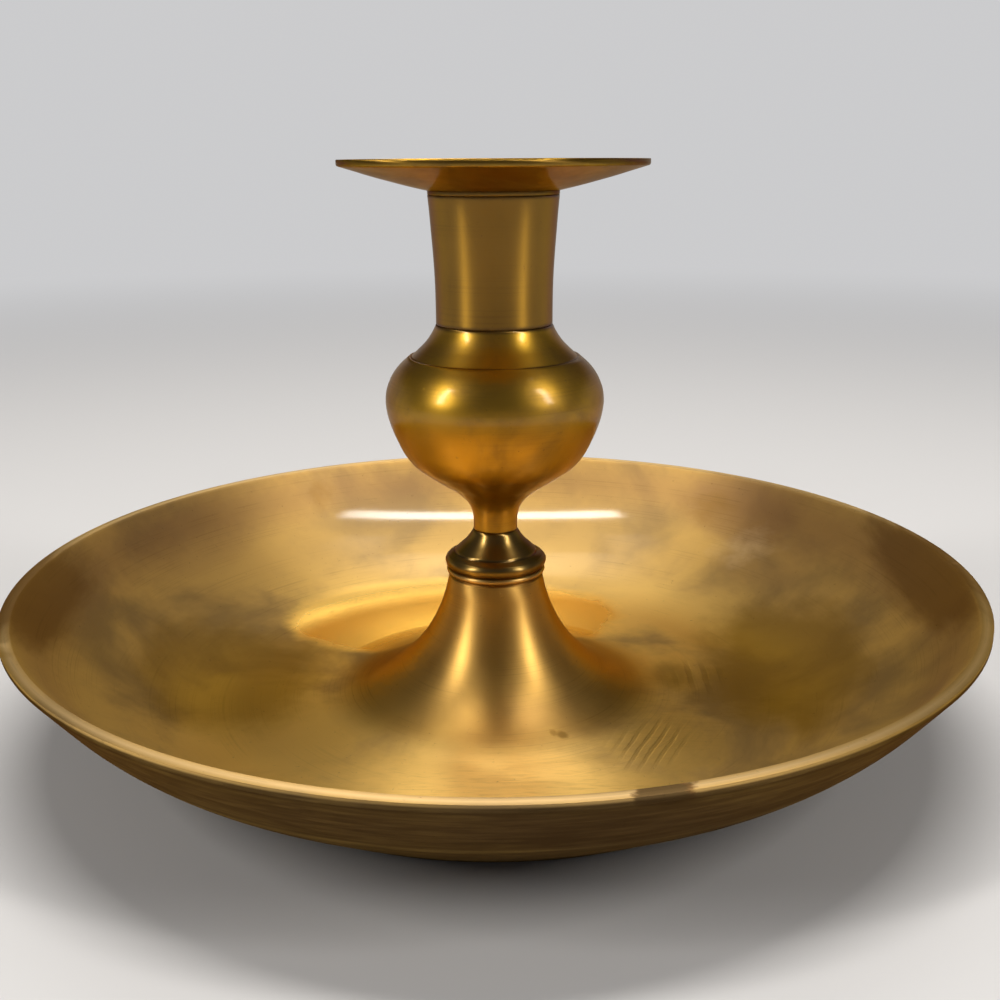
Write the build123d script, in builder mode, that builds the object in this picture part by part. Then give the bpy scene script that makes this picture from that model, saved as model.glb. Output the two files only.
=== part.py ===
from build123d import *
from math import dist
import os

# Brass chamberstick with a finger loop. Millimetres, +Z up.
# The origin is on the stem's axis, on the table that the pan stands on.
# The candle's axis is Z, and the finger loop is at +Y.

# Pan, one turned casting with its hollow trumpet
pan_radius = 102.0
pan_height = 31.0
pan_wall = 2.5
rim_band = 1.2
rim_rounding = 0.35
knee_shares = (0.7, 0.55)
knee_setback_share = 0.29
heel_setback_share = 0.45
foot_radius = 67.5
foot_ring_width = 11.0
foot_recess = 0.8
floor_thickness = 3.0

# Trumpet in the middle of the pan
stem_seat_height = 31.4
trumpet_top_radius = 10.2
trumpet_foot_radius = 39.0
trumpet_wall = 2.2
crown_thickness = 5.0
bead_height = 1.3
bead_proud = 0.25
groove_height = 0.6
groove_depth = 0.35
flare_lean_share = 0.065
flare_drop_share = 0.43
flare_floor_share = 0.36

# Collar between trumpet and knop
collar_height = 8.4
collar_foot_radius = 10.3
collar_radius = 11.0
collar_shelf_radius = 10.2
collar_step_radius = 8.9
collar_step_height = 0.35
collar_edge_share = 0.17
collar_shelf_share = 0.33
collar_step_share = 0.4
collar_cone_shares = (0.55, 0.45)

# Knop, hollow, with its neck below and its shoulder above
knop_height = 44.4
knop_radius = 23.0
knop_wall = 2.6
neck_radius = 4.75
neck_height = 2.4
shoulder_radius = 17.9
shoulder_height = 6.7
shoulder_step = 0.5
shoulder_sag_shares = (0.6, 0.46)
# Each pair is a share of the bowl's height, then one of its swell beyond the neck
bowl_lower_shares = ((0.115, 0.08), (0.23, 0.365), (0.346, 0.68), (0.5, 0.87))
bowl_upper_shares = ((0.626, 0.968), (0.748, 1.0), (0.875, 0.93))
core_widest_shares = (0.7, 1.0)
core_low_shares = (0.4, 0.7)
core_bottom_share = 0.36

# Socket tube on the knop
socket_height = 26.0
socket_foot_radius = 12.1
socket_top_radius = 13.4
socket_floor = 2.6
spigot_radius = 8.4
spigot_length = 2.5
spigot_clearance = 0.1
spigot_relief = 0.5

# Candle sleeve, which slides into the socket
candle_radius = 10.25
sleeve_wall = 0.75
sleeve_clearance = 0.1
sleeve_end_gap = 0.4
sleeve_mouth_chamfer = 0.3

# Drip pan brazed on the sleeve
drip_radius = 31.4
drip_height = 6.9
drip_thickness = 1.1
drip_rim_height = 1.1
drip_boss_height = 0.8
drip_lean_share = 0.22
braze_gap = 0.02

# Tie screw with its washers and nut
screw_radius = 2.5
screw_clearance = 0.25
thread_clearance = 0.02
head_radius = 4.5
head_height = 3.0
slot_width = 1.2
slot_depth = 1.4
washer_thickness = 1.0
head_washer_radius = 6.5
base_washer_radius = 6.0
nut_across_flats = 8.0
nut_height = 4.0
screw_tail = 2.0

# Finger loop, a bent strap riveted to the pan's wall
strap_width = 10.0
strap_thickness = 2.5
strap_rounding = 0.6
loop_reach = 33.0
loop_rise = 12.0
loop_ground_gap = 5.5
loop_bend = 12.0
crest_bend = 8.0
lower_foot_bend = 6.0
crest_length = 16.0
upper_foot_length = 10.0
lower_foot_length = 10.0

# Rivets of the loop
rivet_radius = 1.6
rivet_head_radius = 3.1
rivet_head_height = 1.3
rivet_clearance = 0.05
rivet_bite = 0.2

# Thumb rest on the loop
thumb_length = 25.0
thumb_width = 19.0
thumb_thickness = 1.8
thumb_rounding = 0.5
thumb_tip_rounding = 3.0
thumb_belly_shares = (2 / 3, 0.3)

# One overrun for every cut
overrun = 2.0

os.makedirs("parts", exist_ok=True)


def direction(start, end):
    """The unit step from one outline point to another."""
    length = dist(start, end)
    return (end[0] - start[0]) / length, (end[1] - start[1]) / length


def moved(point, step, distance):
    """A point moved along a unit step."""
    return point[0] + step[0] * distance, point[1] + step[1] * distance


def between(start, end, share):
    """The point at a share of the way between two points."""
    return start[0] + share * (end[0] - start[0]), start[1] + share * (end[1] - start[1])


def at_height(start, end, height):
    """The point at one height on the line through two points."""
    return between(start, end, (height - start[1]) / (end[1] - start[1]))


# Pan. The wall's outer outline is rim, lip, knee and foot, and the inner one runs beside it.
rim = (pan_radius, pan_height)
lip = (pan_radius, pan_height - rim_band)
foot = (foot_radius, 0)
knee = (between(foot, lip, knee_shares[0])[0], between(foot, lip, knee_shares[1])[1])
upper_step = direction(knee, lip)
lower_step = direction(foot, knee)
upper_outward = (upper_step[1], -upper_step[0])
lower_outward = (lower_step[1], -lower_step[0])

bisector = (upper_outward[0] + lower_outward[0], upper_outward[1] + lower_outward[1])
facing = 1 + upper_outward[0] * lower_outward[0] + upper_outward[1] * lower_outward[1]
inner_knee = moved(knee, bisector, -pan_wall / facing)
inner_rim = at_height(inner_knee, moved(inner_knee, upper_step, pan_wall), pan_height)
inner_heel = at_height(inner_knee, moved(inner_knee, lower_step, pan_wall), floor_thickness)

# Each rounding takes a share of the slope beside it
knee_setback = knee_setback_share * dist(foot, knee)
heel_setback = heel_setback_share * dist(inner_heel, inner_knee)
outer_rounding = knee_setback / ((2 - facing) / facing) ** 0.5
inner_rounding = outer_rounding - pan_wall
heel_rounding = heel_setback * (1 + lower_step[0]) / lower_step[1]

# Each rivet of the finger loop stands square to the wall, at the middle of one end of the strap
upper_rivet = moved(lip, upper_step, -upper_foot_length / 2)
lower_rivet = moved(knee, lower_step, -knee_setback - lower_foot_length / 2)
rivet_seats = ((upper_rivet, upper_outward), (lower_rivet, lower_outward))
rivet_axes = [Plane(origin=(0, *seat), z_dir=(0, *outward)) for seat, outward in rivet_seats]
rivet_hole = rivet_radius + rivet_clearance
rivet_reach = 2 * (pan_wall + strap_thickness + overrun)

bead_bottom = stem_seat_height - bead_height
trumpet_top = bead_bottom - groove_height
crown_bottom = stem_seat_height - crown_thickness
cavity_top_radius = trumpet_top_radius - trumpet_wall
cavity_foot_radius = trumpet_foot_radius - trumpet_wall
flare_width = trumpet_foot_radius - trumpet_top_radius
screw_hole = screw_radius + screw_clearance


def flare(top_radius, top, bottom):
    """Four control points of the trumpet's curve, from its top down to the flat below it."""
    lean = (top_radius + flare_lean_share * flare_width, top - flare_drop_share * (top - bottom))
    sweep = (top_radius + flare_floor_share * flare_width, bottom)
    return (top_radius, top), lean, sweep, (top_radius + flare_width, bottom)


with BuildPart() as pan:
    with BuildSketch(Plane.XZ):
        with BuildLine():
            Line((0, crown_bottom), (0, stem_seat_height))
            Line((0, stem_seat_height), (trumpet_top_radius, stem_seat_height))
            ThreePointArc(
                (trumpet_top_radius, stem_seat_height),
                (trumpet_top_radius + bead_proud, stem_seat_height - bead_height / 2),
                (trumpet_top_radius, bead_bottom),
            )
            ThreePointArc(
                (trumpet_top_radius, bead_bottom),
                (trumpet_top_radius - groove_depth, bead_bottom - groove_height / 2),
                (trumpet_top_radius, trumpet_top),
            )
            Bezier(*flare(trumpet_top_radius, trumpet_top, floor_thickness))
            FilletPolyline(
                (trumpet_foot_radius, floor_thickness),
                inner_heel,
                inner_knee,
                inner_rim,
                radius=[heel_rounding, inner_rounding],
            )
            Polyline(inner_rim, rim, lip)
            FilletPolyline(lip, knee, foot, radius=outer_rounding)
            Polyline(
                foot,
                (foot_radius - foot_ring_width, 0),
                (foot_radius - foot_ring_width, foot_recess),
                (cavity_foot_radius, foot_recess),
            )
            Bezier(*flare(cavity_top_radius, crown_bottom, foot_recess))
            Line((cavity_top_radius, crown_bottom), (0, crown_bottom))
        make_face()
    revolve(axis=Axis.Z)
    rim_edges = pan.edges().filter_by(GeomType.CIRCLE).group_by(Axis.Z)[-1]
    fillet(rim_edges, rim_rounding)
    with Locations((0, 0, crown_bottom)):
        Cylinder(screw_hole, 2 * crown_thickness + overrun, mode=Mode.SUBTRACT)
    with Locations(*rivet_axes):
        Cylinder(rivet_hole, rivet_reach, mode=Mode.SUBTRACT)

# Collar: a rounded disc, a sloping shelf, a small step and a cone drawn in to the neck
collar_top = stem_seat_height + collar_height


def collar_level(share):
    """A height on the collar."""
    return stem_seat_height + share * collar_height


with BuildPart() as collar:
    with BuildSketch(Plane.XZ):
        with BuildLine():
            foot_edge = (collar_foot_radius, stem_seat_height)
            shelf_edge = (collar_shelf_radius, collar_level(collar_shelf_share))
            step_foot = (collar_step_radius, collar_level(collar_step_share))
            step_top = (collar_step_radius, step_foot[1] + collar_step_height)
            cone_top = (neck_radius, collar_top)
            cone_middle = (
                between(step_top, cone_top, collar_cone_shares[0])[0],
                between(step_top, cone_top, collar_cone_shares[1])[1],
            )
            Line((screw_hole, stem_seat_height), foot_edge)
            ThreePointArc(foot_edge, (collar_radius, collar_level(collar_edge_share)), shelf_edge)
            Polyline(shelf_edge, step_foot, step_top)
            ThreePointArc(step_top, cone_middle, cone_top)
            Polyline(cone_top, (screw_hole, collar_top), (screw_hole, stem_seat_height))
        make_face()
    revolve(axis=Axis.Z)

# Knop: neck, swelling bowl, stepped edge and concave shoulder, cored from above
bowl_bottom = collar_top + neck_height
knop_top = collar_top + knop_height
shoulder_edge = knop_top - shoulder_height
bowl_height = shoulder_edge - bowl_bottom
swell = knop_radius - neck_radius
spigot_bore = spigot_radius + spigot_clearance
spigot_bore_bottom = knop_top - spigot_length - spigot_relief


def bowl_point(shares, wall=0):
    """A point of the bowl's outline, or of the core's outline one wall inside it."""
    return neck_radius + shares[1] * swell - wall, bowl_bottom + shares[0] * bowl_height


with BuildPart() as knop:
    with BuildSketch(Plane.XZ):
        with BuildLine():
            bowl_start = (neck_radius, bowl_bottom)
            bowl_end = (shoulder_radius, shoulder_edge)
            shoulder_start = (shoulder_radius - shoulder_step, shoulder_edge)
            shoulder_end = (socket_foot_radius, knop_top)
            shoulder_middle = (
                between(shoulder_start, shoulder_end, shoulder_sag_shares[0])[0],
                between(shoulder_start, shoulder_end, shoulder_sag_shares[1])[1],
            )
            core_start = (screw_hole, bowl_bottom + core_bottom_share * bowl_height)
            core_end = (shoulder_radius - knop_wall, shoulder_edge)
            Polyline((screw_hole, collar_top), (neck_radius, collar_top), bowl_start)
            Spline(
                bowl_start,
                *[bowl_point(shares) for shares in bowl_lower_shares + bowl_upper_shares],
                bowl_end,
                tangents=[(0, 1), (-1, 1)],
            )
            Line(bowl_end, shoulder_start)
            ThreePointArc(shoulder_start, shoulder_middle, shoulder_end)
            Polyline(
                shoulder_end,
                (spigot_bore, knop_top),
                (spigot_bore, spigot_bore_bottom),
                core_end,
            )
            core_low = bowl_point(core_low_shares, knop_wall)
            ThreePointArc(core_end, bowl_point(core_widest_shares, knop_wall), core_low)
            Polyline(core_low, core_start, (screw_hole, collar_top))
        make_face()
    revolve(axis=Axis.Z)

# Socket: a tube that flares gently from its foot, with a floor and a spigot below it
socket_top = knop_top + socket_height
socket_floor_top = knop_top + socket_floor
sleeve_radius = candle_radius + sleeve_wall
socket_bore = sleeve_radius + sleeve_clearance

with BuildPart() as socket:
    with BuildSketch(Plane.XZ):
        with BuildLine():
            spigot_end = knop_top - spigot_length
            Polyline(
                (screw_hole, spigot_end),
                (spigot_radius, spigot_end),
                (spigot_radius, knop_top),
                (socket_foot_radius, knop_top),
            )
            TangentArc(
                (socket_foot_radius, knop_top),
                (socket_top_radius, socket_top),
                tangent=(0, 1),
            )
            Polyline(
                (socket_top_radius, socket_top),
                (socket_bore, socket_top),
                (socket_bore, socket_floor_top),
                (screw_hole, socket_floor_top),
                (screw_hole, spigot_end),
            )
        make_face()
    revolve(axis=Axis.Z)

# Head washer and tie screw: the head stands in the socket, the tail below the trumpet's crown
head_seat = socket_floor_top + washer_thickness
head_top = head_seat + head_height
nut_top = crown_bottom - washer_thickness
nut_bottom = nut_top - nut_height
screw_end = nut_bottom - screw_tail

with BuildPart() as head_washer:
    with BuildSketch(Plane.XY.offset(socket_floor_top)):
        Circle(head_washer_radius)
        Circle(screw_hole, mode=Mode.SUBTRACT)
    extrude(amount=washer_thickness)

with BuildPart() as base_washer:
    with BuildSketch(Plane.XY.offset(nut_top)):
        Circle(base_washer_radius)
        Circle(screw_hole, mode=Mode.SUBTRACT)
    extrude(amount=washer_thickness)

with BuildPart() as tie_screw:
    with BuildSketch(Plane.XY.offset(screw_end)):
        Circle(screw_radius)
    extrude(amount=head_top - screw_end)
    with BuildSketch(Plane.XY.offset(head_seat)):
        Circle(head_radius)
    extrude(amount=head_height)
    with Locations((0, 0, head_top)):
        Box(2 * head_radius + overrun, slot_width, 2 * slot_depth, mode=Mode.SUBTRACT)

with BuildPart() as base_nut:
    with BuildSketch(Plane.XY.offset(nut_bottom)):
        RegularPolygon(nut_across_flats / 2, 6, major_radius=False)
        Circle(screw_radius + thread_clearance, mode=Mode.SUBTRACT)
    extrude(amount=nut_height)

# Drip pan: a thin dish with an upright rim, seated on the socket's top by a low boss
boss_top = socket_top + drip_boss_height
dish_floor = boss_top + drip_thickness
drip_top = socket_top + drip_height
drip_edge = drip_top - drip_rim_height
sleeve_hole = sleeve_radius + braze_gap

with BuildPart() as drip_pan:
    with BuildSketch(Plane.XZ):
        with BuildLine():
            Polyline(
                (sleeve_hole, dish_floor),
                (sleeve_hole, socket_top),
                (socket_top_radius, socket_top),
                (socket_top_radius, boss_top),
            )
            TangentArc(
                (socket_top_radius, boss_top),
                (drip_radius, drip_edge),
                tangent=(1, drip_lean_share),
            )
            Polyline(
                (drip_radius, drip_edge),
                (drip_radius, drip_top),
                (drip_radius - drip_thickness, drip_top),
                (drip_radius - drip_thickness, drip_edge + drip_thickness / 2),
            )
            TangentArc(
                (sleeve_hole, dish_floor),
                (drip_radius - drip_thickness, drip_edge + drip_thickness / 2),
                tangent=(1, drip_lean_share),
            )
        make_face()
    revolve(axis=Axis.Z)

# Candle sleeve: a straight tube, flush with the dish and standing clear of the screw's head
sleeve_bottom = head_top + sleeve_end_gap

with BuildPart() as candle_sleeve:
    with BuildSketch(Plane.XY.offset(sleeve_bottom)):
        Circle(sleeve_radius)
        Circle(candle_radius, mode=Mode.SUBTRACT)
    extrude(amount=dish_floor - sleeve_bottom)
    mouth = candle_sleeve.edges().filter_by(GeomType.CIRCLE).group_by(Axis.Z)[-1].sort_by(SortBy.RADIUS)[0]
    chamfer(mouth, sleeve_mouth_chamfer)

# Finger loop: a strap that lies on the wall below the rim, rises past it, runs round and
# comes back under the pan to the wall's lower slope
strap_offset = strap_thickness / 2 - rivet_bite
upper_sole = moved(lip, upper_outward, strap_offset)
lower_sole = moved(moved(knee, lower_step, -knee_setback), lower_outward, strap_offset)
crest_height = pan_height + loop_rise
keel_height = loop_ground_gap + strap_thickness / 2
crest_start = at_height(upper_sole, moved(upper_sole, upper_step, loop_rise), crest_height)
crest_end = (crest_start[0] + crest_length, crest_height)
keel_end = (crest_end[0], keel_height)
farthest = (pan_radius + loop_reach, (crest_height + keel_height) / 2)

with BuildPart() as pan_blank:
    with BuildSketch(Plane.XZ):
        with BuildLine():
            Polyline(foot, (0, 0), (0, pan_height), rim, lip)
            FilletPolyline(lip, knee, foot, radius=outer_rounding)
        make_face()
    revolve(axis=Axis.Z)

with BuildPart() as finger_loop:
    with BuildSketch(Plane.YZ):
        with BuildLine():
            FilletPolyline(
                moved(upper_sole, upper_step, -upper_foot_length),
                crest_start,
                crest_end,
                farthest,
                keel_end,
                lower_sole,
                moved(lower_sole, lower_step, -lower_foot_length),
                radius=[crest_bend, loop_bend, loop_bend, loop_bend, lower_foot_bend],
            )
        trace(line_width=strap_thickness)
    extrude(amount=strap_width / 2, both=True)
    strap_edges = finger_loop.edges().group_by(Axis.X)
    fillet(strap_edges[0] + strap_edges[-1], strap_rounding)
    add(pan_blank.part, mode=Mode.SUBTRACT)
    with Locations(*rivet_axes):
        Cylinder(rivet_hole, rivet_reach, mode=Mode.SUBTRACT)

# Rivets: a shank with two low domed heads, trimmed to the wall and the strap
inner_seat = rivet_bite - pan_wall
outer_seat = strap_thickness - 2 * rivet_bite
inner_crown = (0, inner_seat - rivet_head_height)
outer_crown = (0, outer_seat + rivet_head_height)
inner_brim = (rivet_head_radius, inner_seat)
outer_brim = (rivet_head_radius, outer_seat)


def rivet(seat, outward):
    """One rivet, square to the wall, with its heads trimmed to the wall and the strap."""
    along = Plane(origin=(0, *seat), x_dir=(1, 0, 0), z_dir=(0, -outward[1], outward[0]))
    with BuildPart() as single:
        with BuildSketch(along):
            with BuildLine():
                Line(inner_crown, outer_crown)
                TangentArc(outer_crown, outer_brim, tangent=(1, 0))
                Polyline(outer_brim, (rivet_radius, outer_seat), (rivet_radius, inner_seat), inner_brim)
                TangentArc(inner_crown, inner_brim, tangent=(1, 0))
            make_face()
        revolve(axis=Axis(along.origin, along.y_dir))
        add(pan.part, mode=Mode.SUBTRACT)
        add(finger_loop.part, mode=Mode.SUBTRACT)
    return single.part


rivets = [rivet(*seat) for seat in rivet_seats]

with BuildPart() as loop_rivets:
    add(rivets)

# Thumb rest: a leaf-shaped plate on the loop's crest
thumb_seat = crest_height + strap_thickness / 2
thumb_middle = (crest_start[0] + crest_end[0]) / 2
half_length = thumb_length / 2
belly = (thumb_width * thumb_belly_shares[0], thumb_length * thumb_belly_shares[1])

with BuildPart() as thumb_rest:
    with BuildSketch(Plane.XY.offset(thumb_seat)):
        with Locations((0, thumb_middle)):
            with BuildSketch(mode=Mode.PRIVATE) as leaf:
                with BuildLine():
                    Bezier((0, half_length), belly, (belly[0], -belly[1]), (0, -half_length))
                    mirror(about=Plane.YZ)
                make_face()
                fillet(leaf.vertices(), thumb_tip_rounding)
            add(leaf.sketch)
    extrude(amount=thumb_thickness)
    fillet(thumb_rest.edges().group_by(Axis.Z)[-1], thumb_rounding)

nodes = {
    "pan": pan,
    "collar": collar,
    "knop": knop,
    "socket": socket,
    "tie_screw": tie_screw,
    "head_washer": head_washer,
    "base_washer": base_washer,
    "base_nut": base_nut,
    "drip_pan": drip_pan,
    "candle_sleeve": candle_sleeve,
    "finger_loop": finger_loop,
    "thumb_rest": thumb_rest,
    "loop_rivets": loop_rivets,
}
for name, node in nodes.items():
    node.part.label = name
    export_step(node.part, f"parts/{name}.step")
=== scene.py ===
"""Looks of the brass chamberstick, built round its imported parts. Metres, +Z up, front towards -Y."""
from collections import namedtuple
from math import atan2, dist, hypot, pi, radians, tan

import bpy
from mathutils import Matrix, Vector


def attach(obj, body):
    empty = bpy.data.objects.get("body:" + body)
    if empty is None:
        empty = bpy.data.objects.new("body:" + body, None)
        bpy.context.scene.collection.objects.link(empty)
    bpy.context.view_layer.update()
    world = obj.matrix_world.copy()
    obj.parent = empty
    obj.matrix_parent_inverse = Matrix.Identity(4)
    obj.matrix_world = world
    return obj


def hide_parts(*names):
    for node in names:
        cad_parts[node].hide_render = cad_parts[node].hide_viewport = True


MM = 0.001

# Camera, from the fit to the pan's rim and the stem
LENS = 43.73
SENSOR_WIDTH = 36.0
NEAREST = 0.01
CAMERA_PLACE = (1.0 * MM, -252.7 * MM, 118.2 * MM)
CAMERA_PITCH = radians(15.94)
CAMERA_ROLL = radians(-0.28)

# Pan, in millimetres
PAN_RADIUS = 102.0
PAN_HEIGHT = 31.0
PAN_WALL = 2.5
RIM_BAND = 1.2
FOOT_RADIUS = 67.5
FOOT_RING_WIDTH = 11.0
FOOT_RECESS = 0.8
FLOOR = 3.0
KNEE_SHARES = (0.7, 0.55)
KNEE_SETBACK_SHARE = 0.29
HEEL_SETBACK_SHARE = 0.45
TRUMPET_TOP_RADIUS = 10.2
TRUMPET_FOOT_RADIUS = 39.0
TRUMPET_WALL = 2.2
CROWN_BOTTOM = 26.4
FLARE_LEAN_SHARE = 0.065
FLARE_DROP_SHARE = 0.43
FLARE_FLOOR_SHARE = 0.36
SCREW_HOLE = 2.75

# Radii of the stem's seats, in millimetres
NECK_RADIUS = 4.75
SOCKET_FOOT_RADIUS = 12.1
SOCKET_TOP_RADIUS = 13.4
SPIGOT_RADIUS = 8.4
SPIGOT_HOLE = 8.5
SLEEVE_OUTSIDE = 11.02
SOCKET_BORE = 11.1
DRIP_RADIUS = 31.4

# Levels of the stem, in millimetres above the table
BEAD_BOTTOM = 30.1
TRUMPET_TOP = 29.5
STEM_SEAT = 31.4
COLLAR_TOP = 39.8
KNOP_TOP = 84.2
SOCKET_TOP = 110.2
DISH_FLOOR = 112.1
DRIP_TOP = 117.1

# Levels inside the stem, in millimetres above the table
SPIGOT_FOOT = 81.7
SPIGOT_HOLE_FOOT = 81.2
SOCKET_FLOOR = 86.8

# How finely a piece is turned, and its shading
TURNING_STEPS = 256
MERGE_DISTANCE = 0.002 * MM
BEVEL_ANGLE = radians(24)
SMOOTH_ANGLE = radians(30)
ARC_HANDLE = 2 / 3

# Finger loop, in millimetres
STRAP_WIDTH = 10.0
STRAP_THICKNESS = 2.5
STRAP_ROUNDING = 0.6
STRAP_BITE = 0.2
STRAP_FOOT = 10.0
LOOP_REACH = 32.99
CREST_HEIGHT = 43.0
CREST_LENGTH = 16.0
KEEL_HEIGHT = 6.75
LOOP_BENDS = (8.0, 12.0, 12.0, 12.0, 6.0)

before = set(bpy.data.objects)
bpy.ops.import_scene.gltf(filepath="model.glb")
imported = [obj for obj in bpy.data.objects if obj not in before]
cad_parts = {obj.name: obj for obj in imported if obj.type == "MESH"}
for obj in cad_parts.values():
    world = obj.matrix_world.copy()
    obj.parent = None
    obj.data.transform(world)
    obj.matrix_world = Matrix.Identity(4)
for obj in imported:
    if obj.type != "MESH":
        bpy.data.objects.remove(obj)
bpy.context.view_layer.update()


# Drawing outlines, and turning or bending pieces from them


def corner(radius, height):
    """A sharp point of a half outline."""
    return {"at": (radius, height), "kind": "VECTOR"}


def smooth(radius, height):
    """A point that a half outline passes smoothly."""
    return {"at": (radius, height), "kind": "AUTO"}


def steered(at, before, after):
    """A point of a half outline with both its handles given."""
    return {"at": at, "kind": "FREE", "before": before, "after": after}


def between(start, end, share):
    """The point at a share of the way between two points."""
    return start[0] + share * (end[0] - start[0]), start[1] + share * (end[1] - start[1])


def rounding(before, at, after, setback):
    """The two ends of a rounded corner, with handles that run it nearly along an arc."""
    start = between(at, before, setback / dist(at, before))
    end = between(at, after, setback / dist(at, after))
    return [
        steered(start, start, between(start, at, ARC_HANDLE)),
        steered(end, between(end, at, ARC_HANDLE), end),
    ]


def bend(before, at, after, radius):
    """The two ends of a corner rounded to one radius, with handles that run it along an arc."""
    turn = (Vector(at) - Vector(before)).angle(Vector(after) - Vector(at))
    setback = radius * tan(turn / 2)
    start = between(at, before, setback / dist(at, before))
    end = between(at, after, setback / dist(at, after))
    share = 4 / 3 * tan(turn / 4) / tan(turn / 2)
    return [
        steered(start, start, between(start, at, share)),
        steered(end, between(end, at, share), end),
    ]


def only(piece):
    """Select one piece and nothing else."""
    bpy.ops.object.select_all(action="DESELECT")
    piece.select_set(True)
    bpy.context.view_layer.objects.active = piece


def soften(piece, width, segments=2):
    """Give every sharp edge of a piece a small rounding."""
    only(piece)
    modifier = piece.modifiers.new("soft_edges", "BEVEL")
    modifier.width = width * MM
    modifier.segments = segments
    modifier.limit_method = "ANGLE"
    modifier.angle_limit = BEVEL_ANGLE
    modifier.harden_normals = True
    bpy.ops.object.modifier_apply(modifier=modifier.name)


def drawn(name, outline, rings, sideways=(1, 0, 0), closed=True):
    """Draw an outline as a curve in the upright plane of one sideways direction, as edges."""
    def put(flat):
        return (flat[0] * Vector(sideways) + Vector((0, 0, flat[1]))) * MM

    bpy.ops.object.select_all(action="DESELECT")
    bpy.ops.curve.primitive_bezier_curve_add(location=(0, 0, 0))
    curve = bpy.context.object
    curve.name = name
    curve.data.resolution_u = rings
    spline = curve.data.splines[0]
    spline.bezier_points.add(len(outline) - len(spline.bezier_points))
    spline.use_cyclic_u = closed
    for point, given in zip(spline.bezier_points, outline):
        point.handle_left_type = point.handle_right_type = given["kind"]
        point.co = put(given["at"])
        if given["kind"] == "FREE":
            point.handle_left = put(given["before"])
            point.handle_right = put(given["after"])
    bpy.ops.object.convert(target="MESH")
    return bpy.context.object


def turned(name, outline, edge, rings):
    """Turn a closed half outline round the stem and soften its edges."""
    piece = drawn(name, outline, rings)
    bpy.ops.object.mode_set(mode="EDIT")
    bpy.ops.mesh.select_all(action="SELECT")
    bpy.ops.mesh.spin(steps=TURNING_STEPS, angle=2 * pi, center=(0, 0, 0), axis=(0, 0, 1))
    bpy.ops.mesh.select_all(action="SELECT")
    bpy.ops.mesh.remove_doubles(threshold=MERGE_DISTANCE)
    bpy.ops.mesh.normals_make_consistent(inside=False)
    bpy.ops.object.mode_set(mode="OBJECT")
    soften(piece, edge)
    bpy.ops.object.shade_smooth_by_angle(angle=SMOOTH_ANGLE)
    return piece


def flare(top_radius, top, bottom):
    """The trumpet's curve, down and outwards to the flat below it, as two steered points."""
    width = TRUMPET_FOOT_RADIUS - TRUMPET_TOP_RADIUS
    lean = (top_radius + FLARE_LEAN_SHARE * width, top - FLARE_DROP_SHARE * (top - bottom))
    sweep = (top_radius + FLARE_FLOOR_SHARE * width, bottom)
    start, end = (top_radius, top), (top_radius + width, bottom)
    return [steered(start, start, lean), steered(end, sweep, end)]


def wall_corners():
    """The foot, the knee and the lip of the pan's outer wall."""
    foot = (FOOT_RADIUS, 0)
    lip = (PAN_RADIUS, PAN_HEIGHT - RIM_BAND)
    knee = (between(foot, lip, KNEE_SHARES[0])[0], between(foot, lip, KNEE_SHARES[1])[1])
    return foot, knee, lip


def turned_pan():
    """The pan with its wall, rim, foot ring and hollow trumpet."""
    foot, knee, lip = wall_corners()
    upper = Vector(lip) - Vector(knee)
    lower = Vector(knee) - Vector(foot)
    upper.normalize()
    lower.normalize()
    facing = 1 + upper.dot(lower)
    inward = Vector((-(upper.y + lower.y), upper.x + lower.x)) * PAN_WALL / facing
    inner_knee = Vector(knee) + inward
    inner_rim = inner_knee + upper * (PAN_HEIGHT - inner_knee.y) / upper.y
    inner_heel = inner_knee - lower * (inner_knee.y - FLOOR) / lower.y
    knee_setback = KNEE_SETBACK_SHARE * dist(foot, knee)
    inner_setback = knee_setback - PAN_WALL * ((2 - facing) / facing) ** 0.5
    heel_setback = HEEL_SETBACK_SHARE * dist(inner_heel, inner_knee)
    floor_start = (TRUMPET_FOOT_RADIUS, FLOOR)
    ring_inside = FOOT_RADIUS - FOOT_RING_WIDTH
    underside = flare(TRUMPET_TOP_RADIUS - TRUMPET_WALL, CROWN_BOTTOM, FOOT_RECESS)
    outline = [
        corner(SCREW_HOLE, STEM_SEAT),
        corner(9.95, STEM_SEAT),
        smooth(10.6, 31.1),
        smooth(10.6, 30.4),
        smooth(10.1, BEAD_BOTTOM),
        corner(9.85, 29.8),
        *flare(TRUMPET_TOP_RADIUS, TRUMPET_TOP, FLOOR),
        *rounding(floor_start, tuple(inner_heel), tuple(inner_knee), heel_setback),
        *rounding(tuple(inner_heel), tuple(inner_knee), tuple(inner_rim), inner_setback),
        corner(*inner_rim),
        corner(PAN_RADIUS, PAN_HEIGHT),
        corner(*lip),
        *rounding(lip, knee, foot, knee_setback),
        corner(*foot),
        corner(ring_inside, 0),
        corner(ring_inside, FOOT_RECESS),
        steered(underside[1]["at"], underside[1]["at"], underside[1]["before"]),
        steered(underside[0]["at"], underside[0]["after"], underside[0]["at"]),
        corner(SCREW_HOLE, CROWN_BOTTOM),
    ]
    return turned("pan_turning", outline, edge=0.3, rings=10)


def turned_collar():
    """The dark collar: a rounded disc, a sloping shelf, a small step and a cone."""
    outline = [
        corner(SCREW_HOLE, STEM_SEAT),
        corner(10.2, STEM_SEAT),
        smooth(10.7, 31.9),
        smooth(10.98, 32.6),
        smooth(10.92, 33.3),
        corner(10.3, 34.1),
        corner(8.95, 34.7),
        corner(8.8, 35.1),
        smooth(7.6, 36.2),
        smooth(6.2, 37.6),
        corner(NECK_RADIUS, COLLAR_TOP),
        corner(SCREW_HOLE, COLLAR_TOP),
    ]
    return turned("collar_turning", outline, edge=0.18, rings=4)


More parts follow.
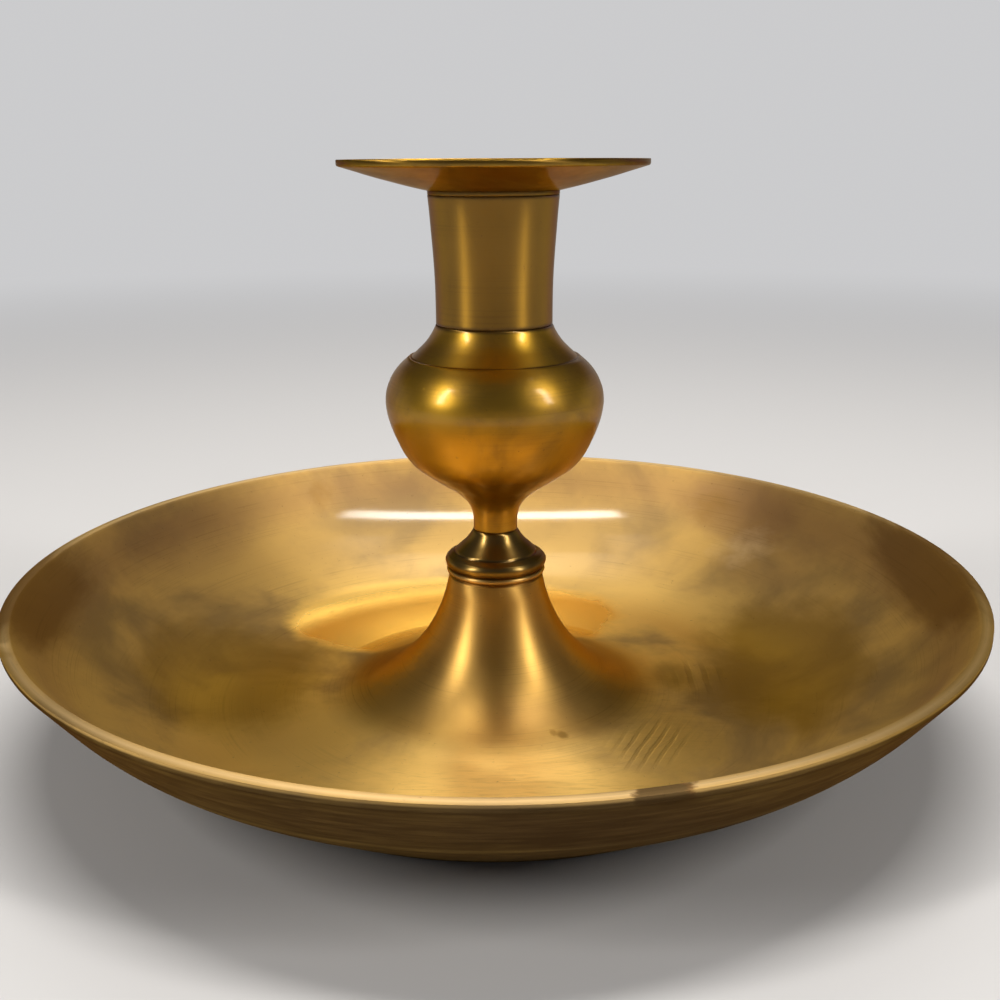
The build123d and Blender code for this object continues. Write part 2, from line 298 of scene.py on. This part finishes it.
def turned_knop():
    """The knop: its neck, the swelling bowl, the stepped edge and the concave shoulder."""
    outline = [
        corner(SCREW_HOLE, COLLAR_TOP),
        corner(NECK_RADIUS, COLLAR_TOP),
        smooth(NECK_RADIUS, 42.0),
        smooth(5.2, 44.4),
        smooth(6.2, 46.2),
        smooth(7.5, 47.5),
        smooth(9.3, 49.0),
        smooth(11.6, 50.5),
        smooth(14.8, 52.7),
        smooth(17.2, 54.5),
        smooth(19.2, 57.0),
        smooth(20.7, 60.0),
        smooth(22.0, 63.2),
        smooth(22.8, 66.4),
        smooth(22.95, 69.2),
        smooth(22.3, 71.9),
        smooth(20.6, 74.9),
        corner(17.9, 77.5),
        corner(17.45, 77.45),
        smooth(15.9, 78.9),
        smooth(14.25, 80.6),
        smooth(13.0, 82.4),
        corner(SOCKET_FOOT_RADIUS, KNOP_TOP),
        corner(SPIGOT_HOLE, KNOP_TOP),
        corner(SPIGOT_HOLE, SPIGOT_HOLE_FOOT),
        corner(15.3, 77.5),
        smooth(20.4, 66.9),
        smooth(14.9, 56.3),
        corner(SCREW_HOLE, 54.9),
    ]
    return turned("knop_turning", outline, edge=0.14, rings=5)


def turned_socket():
    """The candle socket: a tube that opens gently upwards, with its spigot below."""
    outline = [
        corner(SCREW_HOLE, SPIGOT_FOOT),
        corner(SPIGOT_RADIUS, SPIGOT_FOOT),
        corner(SPIGOT_RADIUS, KNOP_TOP),
        corner(SOCKET_FOOT_RADIUS, KNOP_TOP),
        smooth(SOCKET_FOOT_RADIUS, 88),
        smooth(12.2, 93.5),
        smooth(12.5, 99),
        smooth(12.8, 103),
        smooth(13.1, 107),
        corner(SOCKET_TOP_RADIUS, SOCKET_TOP),
        corner(SOCKET_BORE, SOCKET_TOP),
        corner(SOCKET_BORE, SOCKET_FLOOR),
        corner(SCREW_HOLE, SOCKET_FLOOR),
    ]
    return turned("socket_turning", outline, edge=0.16, rings=6)


def turned_drip_pan():
    """The drip pan: a thin dish with a low upright rim, on its seating boss."""
    outline = [
        corner(SLEEVE_OUTSIDE, SOCKET_TOP),
        corner(SOCKET_TOP_RADIUS, SOCKET_TOP),
        corner(SOCKET_TOP_RADIUS, 111.0),
        smooth(17.1, 111.85),
        smooth(21.3, 112.95),
        smooth(24.6, 113.85),
        smooth(27.9, 114.85),
        corner(31.25, 115.85),
        corner(DRIP_RADIUS, 116.15),
        corner(DRIP_RADIUS, DRIP_TOP),
        corner(30.35, DRIP_TOP),
        corner(30.3, 116.6),
        smooth(26.0, 115.5),
        smooth(21.0, 114.3),
        smooth(16.0, 113.15),
        corner(SLEEVE_OUTSIDE, DISH_FLOOR),
    ]
    return turned("drip_pan_turning", outline, edge=0.18, rings=5)


def bent_strap():
    """The finger loop: a strap that rises from the wall, runs round and comes back to it."""
    foot, knee, lip = (Vector(point) for point in wall_corners())
    upper = (lip - knee).normalized()
    lower = (knee - foot).normalized()
    offset = STRAP_THICKNESS / 2 - STRAP_BITE
    upper_sole = lip + Vector((upper.y, -upper.x)) * offset
    knee_setback = KNEE_SETBACK_SHARE * dist(foot, knee)
    lower_sole = knee - lower * knee_setback + Vector((lower.y, -lower.x)) * offset
    crest_start = upper_sole + upper * (CREST_HEIGHT - upper_sole.y) / upper.y
    crest_end = crest_start + Vector((CREST_LENGTH, 0))
    corners = [
        upper_sole - upper * STRAP_FOOT,
        crest_start,
        crest_end,
        Vector((PAN_RADIUS + LOOP_REACH, (CREST_HEIGHT + KEEL_HEIGHT) / 2)),
        Vector((crest_end.x, KEEL_HEIGHT)),
        lower_sole,
        lower_sole - lower * STRAP_FOOT,
    ]
    outline = [corner(*corners[0])]
    for before, at, after, radius in zip(corners, corners[1:], corners[2:], LOOP_BENDS):
        outline += bend(tuple(before), tuple(at), tuple(after), radius)
    outline.append(corner(*corners[-1]))
    strap = drawn("finger_loop_strap", outline, rings=16, sideways=(0, 1, 0), closed=False)
    bpy.ops.object.mode_set(mode="EDIT")
    bpy.ops.mesh.select_all(action="SELECT")
    bpy.ops.mesh.remove_doubles(threshold=MERGE_DISTANCE)
    bpy.ops.transform.translate(value=(-STRAP_WIDTH / 2 * MM, 0, 0))
    bpy.ops.mesh.extrude_region_move(TRANSFORM_OT_translate={"value": (STRAP_WIDTH * MM, 0, 0)})
    bpy.ops.object.mode_set(mode="OBJECT")
    modifier = strap.modifiers.new("strap_thickness", "SOLIDIFY")
    modifier.thickness = STRAP_THICKNESS * MM
    modifier.offset = 0
    modifier.use_even_offset = True
    bpy.ops.object.modifier_apply(modifier=modifier.name)
    bpy.ops.object.mode_set(mode="EDIT")
    bpy.ops.mesh.select_all(action="SELECT")
    bpy.ops.mesh.normals_make_consistent(inside=False)
    bpy.ops.object.mode_set(mode="OBJECT")
    soften(strap, STRAP_ROUNDING, 3)
    bpy.ops.object.shade_smooth_by_angle(angle=SMOOTH_ANGLE)
    return strap


# Finishes


class Graph:
    """A node tree under way. Each call adds one node and gives its output."""

    def __init__(self, tree):
        self.tree = tree

    def feed(self, socket, value):
        """Give a socket a value or join another node's output to it."""
        if isinstance(value, bpy.types.NodeSocket):
            self.tree.links.new(value, socket)
        else:
            socket.default_value = value

    def node(self, kind, inputs, output=0, **settings):
        """Add a node with its settings and inputs."""
        made = self.tree.nodes.new(kind)
        for key, value in settings.items():
            setattr(made, key, value)
        for key, value in inputs.items():
            self.feed(made.inputs[key], value)
        return made.outputs[output]

    def maths(self, operation, first, second=0.0):
        """One sum on numbers."""
        return self.node("ShaderNodeMath", {0: first, 1: second}, operation=operation)

    def vector(self, operation, first, second=(0, 0, 0), output=0):
        """One sum on points."""
        return self.node("ShaderNodeVectorMath", {0: first, 1: second}, output, operation=operation)

    def fade(self, value, low, high, start=0.0, end=1.0):
        """Go smoothly from start to end while a value goes from low to high."""
        inputs = {"Value": value, "From Min": low, "From Max": high, "To Min": start, "To Max": end}
        return self.node("ShaderNodeMapRange", inputs, interpolation_type="SMOOTHSTEP")

    def mix(self, share, first, second):
        """Mix two colours."""
        inputs = {0: share, 6: first, 7: second}
        return self.node("ShaderNodeMix", inputs, 2, data_type="RGBA")

    def blend(self, share, first, second):
        """Mix two numbers."""
        return self.node("ShaderNodeMix", {0: share, 2: first, 3: second})


class Finish(Graph):
    """A material under way."""

    def __init__(self, name):
        self.material = bpy.data.materials.new(name)
        self.material.use_nodes = True
        super().__init__(self.material.node_tree)
        self.shader = self.tree.nodes["Principled BSDF"]

    def place(self):
        """The point on the object, in metres."""
        return self.node("ShaderNodeTexCoord", {}, "Object")

    def noise(self, at, scale, detail=3.0, roughness=0.5, distortion=0.0):
        """Soft cloud noise, about 0.5 on average."""
        inputs = {"Vector": at, "Scale": scale, "Detail": detail}
        inputs.update({"Roughness": roughness, "Distortion": distortion})
        return self.node("ShaderNodeTexNoise", inputs)

    def local(self, at, centre, reach, turn=0.0):
        """A point seen from a patch's centre, with its reach as the unit. Millimetres and degrees."""
        inputs = {"Vector": at, "Location": Vector(centre) * MM, "Scale": Vector(reach) * MM}
        inputs["Rotation"] = (0, 0, radians(turn))
        return self.node("ShaderNodeMapping", inputs, vector_type="TEXTURE")

    def patch(self, local, ragged=0.4, soft=0.5):
        """A ragged patch, 1 in its middle and 0 beyond its reach."""
        away = self.vector("LENGTH", local, output="Value")
        wobble = self.maths("MULTIPLY", self.noise(local, 1.7, 5.0, 0.6), 2 * ragged)
        return self.fade(self.maths("ADD", away, wobble), 1 + ragged - soft, 1 + ragged, 1.0, 0.0)

    def bump(self, height, depth, below=None):
        """Raise the surface by a pattern, in metres, over an earlier bump."""
        inputs = {"Height": height, "Distance": depth}
        if below is not None:
            inputs["Normal"] = below
        return self.node("ShaderNodeBump", inputs)


def colour(red, green, blue):
    """A colour with its alpha."""
    return (red, green, blue, 1.0)


POLISHED = colour(0.71, 0.46, 0.135)
DULL = colour(0.33, 0.22, 0.09)
AMBER = colour(0.46, 0.26, 0.024)
# Also painted dark reflection on the left and right of the pan's floor
UMBER = colour(0.29, 0.165, 0.028)
# Brown of the rim's chip; also a painted dark reflection on the pan's left and right walls
EMBER = colour(0.20, 0.095, 0.03)
COCOA = colour(0.36, 0.19, 0.035)
WORN = colour(0.93, 0.68, 0.34)
# Painted sheen
PAINTED_SHEEN_CREAM = colour(0.90, 0.66, 0.36)
# Painted reflection
PAINTED_REFLECTION_ORANGE = colour(1.0, 0.64, 0.17)
EDGE = colour(0.42, 0.29, 0.12)
# Painted sheen
PAINTED_SHEEN_GOLD = colour(0.92, 0.61, 0.19)
COLLAR_BRIGHT = colour(0.24, 0.15, 0.04)
COLLAR_DULL = colour(0.10, 0.06, 0.022)
SOCKET_BRIGHT = colour(0.33, 0.18, 0.02)
SOCKET_DULL = colour(0.21, 0.115, 0.014)
STEEL_BRIGHT = colour(0.36, 0.35, 0.33)
STEEL_DULL = colour(0.16, 0.13, 0.1)
LAMP_TINT = (1.0, 0.96, 0.9)
DARK = colour(0.07, 0.04, 0.016)
TARNISH = colour(0.33, 0.17, 0.085)
PALE = colour(0.60, 0.60, 0.61)
ROOM = colour(0.10, 0.10, 0.105)

# A quarter turn stretches the highlights across the lathe lines
ACROSS_THE_LINES = 0.25
GROOVE_DEPTH = 0.012 * MM
COAT_IOR = 1.6

# A band round a turned piece: its radius, height and width, tint, strength and roughness
Band = namedtuple("Band", "radius height width tint share roughness", defaults=(DARK, 0.8, None))

# A patch on a piece: its centre, reach, turn, tint and strength, the roughness in it and its edge
Mark = namedtuple(
    "Mark", "centre reach turn tint share roughness ragged soft", defaults=(None, 0.4, 0.5)
)


def brass(
    name, bright=POLISHED, dull=DULL, dulled=(0.42, 0.7), cloud_scale=30.0,
    roughness=(0.42, 0.56), anisotropy=0.65, coat=0.1, coat_roughness=0.1, lacquer=None,
    bands=(), marks=(), zones=(), strokes=(), chatter=(), outside=None, on_lathe=True,
):
    """Old turned brass: polish clouds, lathe lines, wipe marks, pits, seams, patches and chatter; some
    patches are painted shade, sheen or reflection, and the outside mask paints shade.
    """
    finish = Finish(name)
    place = finish.place()
    radius = finish.vector("LENGTH", finish.vector("MULTIPLY", place, (1, 1, 0)), output="Value")
    height = finish.node("ShaderNodeSeparateXYZ", {0: place}, 2)
    lathe = finish.node("ShaderNodeCombineXYZ", {0: radius, 1: height})

    clouds = finish.fade(finish.noise(place, cloud_scale, 5.0, 0.55, 0.4), *dulled)
    metal = finish.mix(clouds, bright, dull)
    wipes = finish.noise(finish.vector("MULTIPLY", place, (1, 1, 12)), 90.0, 3.0, 0.6)
    uneven = finish.maths("ADD", clouds, finish.maths("MULTIPLY", wipes, 0.6))
    shine = finish.fade(uneven, 0.1, 1.2, *roughness)

    for band in bands:
        middle = (band.radius * MM, band.height * MM, 0)
        width = band.width * MM
        away = finish.vector("DISTANCE", lathe, middle, output="Value")
        wobble = -0.5 * width if band.roughness is None else 0.0
        ragged = finish.maths("ADD", away, finish.maths("MULTIPLY", finish.noise(place, 400.0), wobble))
        grime = finish.fade(ragged, -0.25 * width, 0.75 * width, band.share, 0.0)
        metal = finish.mix(grime, metal, band.tint)
        if band.roughness is not None:
            shine = finish.blend(grime, shine, band.roughness)

    for mark in marks:
        local = finish.local(place, mark.centre, mark.reach, mark.turn)
        patch = finish.patch(local, mark.ragged, mark.soft)
        metal = finish.mix(finish.maths("MULTIPLY", patch, mark.share), metal, mark.tint)
        if mark.roughness is not None:
            shine = finish.blend(patch, shine, mark.roughness)

    for start, end, tint, share, zone_roughness in zones:
        zone = finish.fade(radius, start * MM, end * MM)
        metal = finish.mix(finish.maths("MULTIPLY", zone, share), metal, tint)
        shine = finish.blend(zone, shine, zone_roughness)

    specks = finish.fade(finish.noise(place, 900.0, 3.0, 0.7), 0.66, 0.74)
    metal = finish.mix(finish.maths("MULTIPLY", specks, 0.4), metal, DARK)
    raised = finish.bump(finish.noise(place, 45.0, 1.0, 0.4), 0.2 * MM)
    if on_lathe:
        fine = finish.noise(lathe, 2600.0, 2.0, 0.6)
        broad = finish.noise(lathe, 420.0, 2.0, 0.5)
        worn = finish.fade(finish.noise(place, 75.0, 2.0, 0.6), 0.4, 0.65)
        lathe_lines = finish.maths("MULTIPLY", finish.fade(fine, 0.5, 0.72, 0.0, 0.2), worn)
        metal = finish.mix(lathe_lines, metal, DARK)
        raised = finish.bump(broad, GROOVE_DEPTH, raised)
        raised = finish.bump(fine, 0.3 * GROOVE_DEPTH, raised)
        raised = finish.bump(specks, -0.02 * MM, raised)

    for centre, reach in strokes:
        brushed = finish.noise(finish.vector("MULTIPLY", place, (0.12, 1, 1)), 1900.0, 3.0, 0.6)
        brush_lines = finish.fade(brushed, 0.5, 0.68, 0.0, 0.4)
        rubbed = finish.maths("MULTIPLY", brush_lines, finish.noise(place, 130.0))
        area = finish.patch(finish.local(place, centre, reach), 0.4, 0.8)
        metal = finish.mix(finish.maths("MULTIPLY", rubbed, area), metal, UMBER)

    for centre, reach, turn, closeness in chatter:
        local = finish.local(place, centre, reach, turn)
        inputs = {"Vector": local, "Scale": closeness, "Distortion": 1.2, "Detail": 2.0}
        waves = finish.node("ShaderNodeTexWave", inputs)
        cuts = finish.maths("MULTIPLY", finish.fade(waves, 0.55, 0.9), finish.patch(local, 0.5, 0.8))
        metal = finish.mix(finish.maths("MULTIPLY", cuts, 0.2), metal, DARK)
        raised = finish.bump(cuts, -0.05 * MM, raised)

    # Painted shade: the pan's outer wall darkened
    if outside is not None:
        painted_outer_shade = finish.fade(wipes, 0.35, 0.7, 0.92, 0.76)
        metal = finish.mix(finish.maths("MULTIPLY", outside(finish, radius, height), painted_outer_shade), metal, DARK)

    finish.feed(finish.shader.inputs["Base Color"], metal)
    finish.feed(finish.shader.inputs["Roughness"], shine)
    finish.feed(finish.shader.inputs["Normal"], raised)
    finish.feed(finish.shader.inputs["Tangent"], finish.vector("CROSS_PRODUCT", (0, 0, 1), place))
    finish.shader.inputs["Metallic"].default_value = 1.0
    finish.shader.inputs["Specular Tint"].default_value = EDGE
    finish.shader.inputs["Anisotropic"].default_value = anisotropy
    finish.shader.inputs["Anisotropic Rotation"].default_value = ACROSS_THE_LINES
    finish.shader.inputs["Coat Weight"].default_value = coat
    if lacquer is not None:
        lacquered = finish.patch(finish.local(place, *lacquer), 0.2, 0.6)
        finish.feed(finish.shader.inputs["Coat Weight"], finish.maths("MULTIPLY", lacquered, coat))
    finish.shader.inputs["Coat Roughness"].default_value = coat_roughness
    finish.shader.inputs["Coat IOR"].default_value = COAT_IOR
    return finish.material


def steel(name):
    """Dull oiled steel of the hidden screw, washers and nut."""
    finish = Finish(name)
    place = finish.place()
    film = finish.fade(finish.noise(place, 260.0, 4.0, 0.6), 0.4, 0.7)
    finish.feed(finish.shader.inputs["Base Color"], finish.mix(film, STEEL_BRIGHT, STEEL_DULL))
    finish.feed(finish.shader.inputs["Roughness"], finish.fade(film, 0.0, 1.0, 0.32, 0.55))
    finish.feed(finish.shader.inputs["Normal"], finish.bump(finish.noise(place, 1500.0), 0.03 * MM))
    finish.shader.inputs["Metallic"].default_value = 1.0
    return finish.material


def dress(piece, material):
    """Give a piece one material all over."""
    piece.data.materials.clear()
    piece.data.materials.append(material)


def pan_outside(finish, radius, height):
    """A mask that is 1 on the outer side of the pan's wall and 0 on its inner side."""
    foot, knee, lip = (Vector(point) * MM for point in wall_corners())
    beyond = []
    for corner_point, slope in ((foot, (knee - foot).normalized()), (lip, (lip - knee).normalized())):
        across = finish.maths("MULTIPLY", finish.maths("SUBTRACT", radius, corner_point.x), slope.y)
        along = finish.maths("MULTIPLY", finish.maths("SUBTRACT", height, corner_point.y), -slope.x)
        beyond.append(finish.maths("ADD", across, along))
    fade_start = (PAN_HEIGHT - 0.6 * RIM_BAND) * MM
    fade_end = (PAN_HEIGHT - 0.2 * RIM_BAND) * MM
    below_rim = finish.fade(height, fade_start, fade_end, 1.0, 0.0)
    outer = finish.fade(finish.maths("MAXIMUM", *beyond), -1.5 * MM, -0.3 * MM)
    return finish.maths("MULTIPLY", outer, below_rim)


# Light, floor and camera

FLOOR_SIZE = 60


def lamp(name, place, target, size, power):
    """A soft rectangular lamp, aimed at a point with its width kept level."""
    light = bpy.data.lights.new(name, "AREA")
    light.shape = "RECTANGLE"
    light.size, light.size_y = size
    light.energy = power
    light.color = LAMP_TINT
    stand = bpy.data.objects.new(name, light)
    bpy.context.scene.collection.objects.link(stand)
    stand.location = place
    aim = Vector(target) - Vector(place)
    stand.rotation_euler = (atan2(hypot(aim.x, aim.y), -aim.z), 0, atan2(-aim.x, aim.y))


def backdrop_share(graph, behind):
    """How much backdrop a ray sees: all of it from the camera, and only what lies behind in metal."""
    path = graph.node("ShaderNodeLightPath", {}, "Is Camera Ray").node
    mirrored = graph.maths("ADD", path.outputs["Is Glossy Ray"], path.outputs["Is Transmission Ray"])
    seen_in_metal = graph.maths("MULTIPLY", mirrored, behind)
    return graph.maths("MAXIMUM", path.outputs["Is Camera Ray"], seen_in_metal)


def pale_floor():
    """A plain matt floor that fades far off into the pale backdrop."""
    bpy.ops.object.select_all(action="DESELECT")
    bpy.ops.mesh.primitive_plane_add(size=FLOOR_SIZE)
    floor = bpy.context.object
    floor.name = "studio_floor"
    paper = Finish("pale_floor")
    paper.shader.inputs["Base Color"].default_value = PALE
    paper.shader.inputs["Roughness"].default_value = 0.9
    place = paper.place()
    away = paper.vector("LENGTH", place, output="Value")
    behind = paper.fade(paper.node("ShaderNodeSeparateXYZ", {0: place}, 1), -0.2, 0.6)
    share = paper.maths("MULTIPLY", paper.fade(away, 0.15, 1.1), backdrop_share(paper, behind))
    backdrop = paper.node("ShaderNodeEmission", {"Color": PALE})
    faded = paper.node("ShaderNodeMixShader", {0: share, 1: paper.shader.outputs[0], 2: backdrop})
    paper.feed(paper.tree.nodes["Material Output"].inputs["Surface"], faded)
    dress(floor, paper.material)


def surround():
    """A pale backdrop behind the object and a darker room above it and in front."""
    world = bpy.data.worlds.new("studio_surround")
    bpy.context.scene.world = world
    world.use_nodes = True
    graph = Graph(world.node_tree)
    direction = graph.node("ShaderNodeTexCoord", {}, "Generated")
    split = graph.node("ShaderNodeSeparateXYZ", {0: direction}).node
    behind = graph.fade(split.outputs["Y"], -0.1, 0.6)
    low = graph.fade(split.outputs["Z"], 0.12, 0.42, 1.0, 0.0)
    shade = graph.mix(backdrop_share(graph, graph.maths("MULTIPLY", behind, low)), ROOM, PALE)
    graph.feed(graph.tree.nodes["Background"].inputs["Color"], shade)


def studio():
    """The floor, the surround and five soft lamps."""
    pale_floor()
    surround()
    lamp("left_lamp", (-0.75, -0.42, 0.62), (0, 0, 0.06), (0.1, 0.5), 4.4)
    lamp("right_lamp", (0.75, -0.42, 0.62), (0, 0, 0.06), (0.1, 0.5), 4.0)
    lamp("overhead_lamp", (0.05, 0, 0.95), (0.05, 0, 0), (0.72, 0.08), 6.4)
    lamp("back_lamp", (0, 0.42, 0.9), (0, 0, 0), (0.6, 0.4), 1.8)
    lamp("low_lamp", (-0.03, 0.85, 0.5), (0, 0, 0), (0.12, 0.3), 0.32)


def camera():
    """The photograph's viewpoint."""
    view = bpy.data.cameras.new("view")
    view.lens = LENS
    view.sensor_width = SENSOR_WIDTH
    view.clip_start = NEAREST
    stand = bpy.data.objects.new("view", view)
    bpy.context.scene.collection.objects.link(stand)
    turn = Matrix.Rotation(pi / 2 - CAMERA_PITCH, 4, "X") @ Matrix.Rotation(CAMERA_ROLL, 4, "Z")
    stand.matrix_world = Matrix.Translation(CAMERA_PLACE) @ turn
    bpy.context.scene.camera = stand


# Building and dressing

bpy.context.scene.view_settings.view_transform = "Standard"

pan = turned_pan()
collar = turned_collar()
knop = turned_knop()
socket = turned_socket()
drip_pan = turned_drip_pan()
finger_loop = bent_strap()

pan_brass = brass(
    "pan_brass",
    coat=0.5,
    lacquer=((0, 84, 12), (72, 30, 22)),
    bands=[
        Band(10.2, 29.8, 0.6),
        Band(10.6, 30.75, 0.9, WORN, 0.9, 0.25),
        Band(95.5, 25.0, 13.0, TARNISH, 0.45),
        Band(PAN_RADIUS, 29.2, 0.9),
        Band(100.8, PAN_HEIGHT, 2.2, WORN, 1.0, 0.3),
    ],
    marks=[
        Mark((68, 66, 24), (24, 14, 12), -45, TARNISH, 0.45),
        Mark((72, 48, 16), (20, 12, 12), -40, TARNISH, 0.2),
        Mark((-78, 49, 21), (12, 24, 12), -30, TARNISH, 0.2),
        # Painted dark reflection: the pan's left and right inner walls darkened
        Mark((-97, -12, 26), (9, 46, 12), 6, EMBER, 0.85),
        Mark((97, 6, 26), (10, 50, 12), 0, EMBER, 0.9),
        # Painted dark reflection: the left and right of the pan's floor darkened
        Mark((68, 4, 6), (30, 44, 12), 0, UMBER, 0.75),
        Mark((-62, 2, 5), (30, 34, 12), 0, UMBER, 0.6),
        Mark((63, 74, 20), (16, 9, 8), -40, COCOA, 0.75, None, 0.6, 0.8),
        # Painted sheen: a bright cream patch on the back right of the pan's floor
        Mark((70, 57, 12), (15, 10, 10), -40, PAINTED_SHEEN_CREAM, 0.7, None, 0.7, 0.9),
        Mark((-52, 84, 20), (8, 8, 9), 30, COCOA, 0.6),
        # Painted sheen: the front of the pan's floor brightened where the lathe lines catch the lamps
        Mark((0, -50, 3), (31, 34, 6), 0, PAINTED_SHEEN_GOLD, 0.85),
        Mark((0, 74, 8), (80, 26, 24), 0, DULL, 0.4),
        # Polished patch behind the trumpet, its bright orange a painted reflection of the lit stem
        Mark((-10, 40, 3), (46, 28, 8), 0, PAINTED_REFLECTION_ORANGE, 1.0, 0.24, 0.16, 0.16),
        # Painted shade beside the trumpet's right foot
        Mark((40, 4, 3), (7, 11, 5), 0, DARK, 0.4, None, 0.3, 0.7),
        Mark((11.6, -27.4, 4), (1.0, 1.4, 2.0), 20, DARK, 0.7, None, 0.2, 0.6),
        Mark((13.4, -27.8, 4), (1.5, 1.8, 2.0), 60, DARK, 0.8, None, 0.2, 0.6),
        Mark((24.6, -98.0, 30.6), (5.8, 2.8, 2.2), 13.9, EMBER, 1.0, 0.75, 0.6, 0.3),
        Mark((24.2, -98.2, 30.6), (5.2, 2.4, 2.2), 16, DARK, 0.95, 0.75, 0.7, 0.3),
    ],
    zones=[(38, 29, COCOA, 0.6, 0.41), (60, 85, DULL, 0.3, 0.6)],
    chatter=[
        ((31.5, -29, 3), (10, 15, 5), -24, 1.3),
        ((46, 4, 3), (9, 12, 5), 0, 0.8),
    ],
    strokes=[((5, -56, 3), (58, 34, 8)), ((40, -10, 3), (40, 30, 8))],
    # Painted shade on the pan's outer wall
    outside=pan_outside,
)
collar_brass = brass(
    "collar_brass",
    COLLAR_BRIGHT,
    COLLAR_DULL,
    roughness=(0.3, 0.42),
    bands=[Band(10.2, STEM_SEAT, 0.6), Band(8.85, 34.8, 0.4)],
)
knop_brass = brass(
    "knop_brass",
    AMBER,
    UMBER,
    dulled=(0.42, 0.72),
    cloud_scale=75.0,
    roughness=(0.36, 0.45),
    anisotropy=0.5,
    coat=0.3,
    coat_roughness=0.15,
    bands=[
        Band(SOCKET_FOOT_RADIUS, KNOP_TOP, 1.0),
        Band(17.5, 77.5, 0.35, DARK, 0.6),
        Band(NECK_RADIUS, COLLAR_TOP, 0.5),
    ],
)
socket_brass = brass(
    "socket_brass",
    SOCKET_BRIGHT,
    SOCKET_DULL,
    coat=0.3,
    coat_roughness=0.3,
    dulled=(0.5, 0.95),
    cloud_scale=40.0,
    roughness=(0.4, 0.46),
    anisotropy=0.85,
    bands=[Band(SOCKET_FOOT_RADIUS, KNOP_TOP, 1.0), Band(SOCKET_TOP_RADIUS, SOCKET_TOP, 0.9)],
)
drip_brass = brass(
    "drip_brass",
    AMBER,
    UMBER,
    cloud_scale=50.0,
    roughness=(0.3, 0.42),
    bands=[Band(SOCKET_TOP_RADIUS, 110.9, 1.6), Band(DRIP_RADIUS, 116.6, 1.3, DARK, 0.65)],
)
loop_brass = brass(
    "loop_brass",
    coat=0.2,
    cloud_scale=50.0,
    roughness=(0.36, 0.48),
    anisotropy=0.0,
    on_lathe=False,
)
screw_steel = steel("screw_steel")

for piece, node, material, slot, body in (
    (pan, "pan", pan_brass, "pan_brass", "stick"),
    (collar, "collar", collar_brass, "collar_brass", "stick"),
    (knop, "knop", knop_brass, "knop_brass", "stick"),
    (socket, "socket", socket_brass, "socket_brass", "stick"),
    (drip_pan, "drip_pan", drip_brass, "drip_brass", "nozzle"),
    (finger_loop, "finger_loop", loop_brass, "loop_brass", "stick"),
):
    dress(piece, material)
    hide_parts(node)
    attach(piece, body)

for node, material in (
    ("candle_sleeve", drip_brass),
    ("thumb_rest", loop_brass),
    ("loop_rivets", loop_brass),
    ("tie_screw", screw_steel),
    ("head_washer", screw_steel),
    ("base_washer", screw_steel),
    ("base_nut", screw_steel),
):
    dress(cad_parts[node], material)

studio()
camera()
